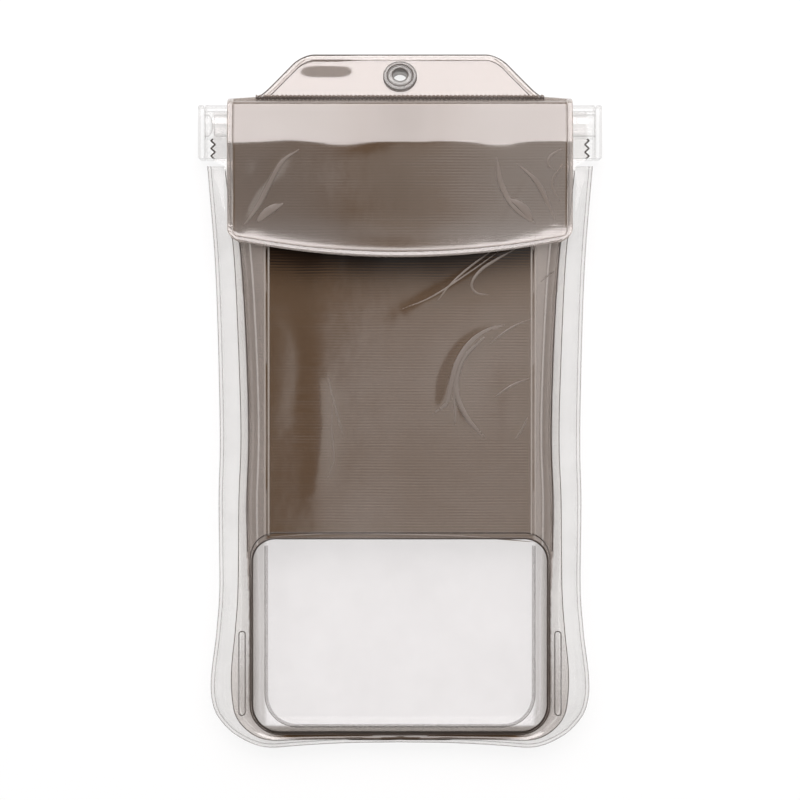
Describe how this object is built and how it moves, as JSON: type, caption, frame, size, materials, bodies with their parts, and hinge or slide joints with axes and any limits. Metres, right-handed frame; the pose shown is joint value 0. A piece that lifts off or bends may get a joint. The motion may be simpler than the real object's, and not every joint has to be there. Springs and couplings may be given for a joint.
{
  "type": "waterproof phone pouch",
  "caption": "Soft see-through pouch for a phone, with a camera window, air bladder, front flap, hang tab with eyelet, and a clear channel that slides over a rod to seal the mouth.",
  "frame": {"origin": "On the floor under the middle of the pouch as it lies on its back, at the centre of its outline.", "axes": "+X is to the right as seen from the front, along the clamp. +Y runs from the bottom edge to the hang tab. +Z points out of the front, upwards as it lies."},
  "size_m": [0.116, 0.201, 0.0132],
  "materials": {
    "tinted_film": "smoky brown see-through soft film with fine ribs across it, glossy",
    "clear_film": "clear soft film, glossy",
    "clamp_plastic": "clear hard plastic, polished outside and frosted inside",
    "eyelet_plastic": "clear hard plastic, polished"
  },
  "bodies": {
    "pouch": {"front_panel": "tinted_film", "camera_window": "clear_film", "back_panel": "clear_film", "bladder_front_skin": "clear_film", "bladder_rear_skin": "clear_film", "flap_sheet": "tinted_film", "tab_sheet": "tinted_film", "eyelet_front": "eyelet_plastic", "eyelet_rear": "eyelet_plastic", "sealing_rod": "clamp_plastic"},
    "channel": {"clamp_channel": "clamp_plastic", "channel_end_cap": "clamp_plastic"}
  },
  "joints": [
    {"name": "channel_slide", "type": "slide", "parent": "pouch", "child": "channel", "axis": [-1, 0, 0], "range_m": [0, 0.116]}
  ]
}
